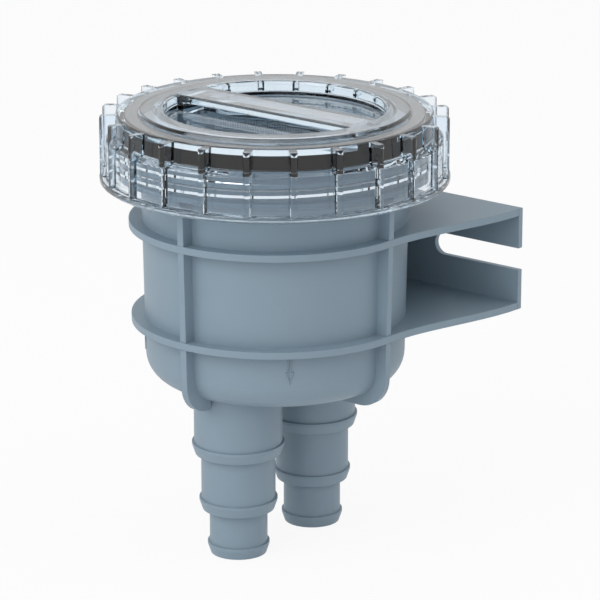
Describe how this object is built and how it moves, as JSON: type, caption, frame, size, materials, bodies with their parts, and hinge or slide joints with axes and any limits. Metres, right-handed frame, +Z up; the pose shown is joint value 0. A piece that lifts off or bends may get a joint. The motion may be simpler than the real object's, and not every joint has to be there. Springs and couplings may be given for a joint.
{
  "type": "bilge pump filter",
  "caption": "Wall-mounted bilge water strainer: ribbed bowl with stepped hose spigots below, a hanging basket and a clear screw-on lid over a seal.",
  "frame": {"origin": "middle of the wall plate's back face, where the filter meets the bulkhead", "axes": "+Y points out of the plate's back face into the wall, +Z up along the bowl's axis towards the lid, +X to the right seen from the front"},
  "size_m": [0.1516, 0.1508, 0.1931],
  "materials": {
    "housing_plastic": "satin moulded blue-grey plastic",
    "clear_plastic": "clear moulded plastic, polished",
    "seal_rubber": "black moulded rubber",
    "basket_plastic": "satin moulded light blue-grey plastic",
    "screen_plastic": "fine woven plastic mesh"
  },
  "bodies": {
    "housing": {"housing": "housing_plastic", "basket": "basket_plastic", "basket_screen": "screen_plastic"},
    "seal": {"lid_seal": "seal_rubber"},
    "lid": {"lid": "clear_plastic"}
  },
  "joints": [
    {"name": "lid_rise", "type": "slide", "parent": "housing", "child": "seal", "axis": [0, 0, 1], "range_m": [0, 0.012]},
    {"name": "lid_turn", "type": "hinge", "parent": "seal", "child": "lid", "pos_m": [0, -0.076, 0], "axis": [0, 0, 1], "range_deg": [0, 720]}
  ],
  "couplings": [
    {"joint": "lid_rise", "follows": "lid_turn", "m_per_rad": 0.0009549}
  ]
}
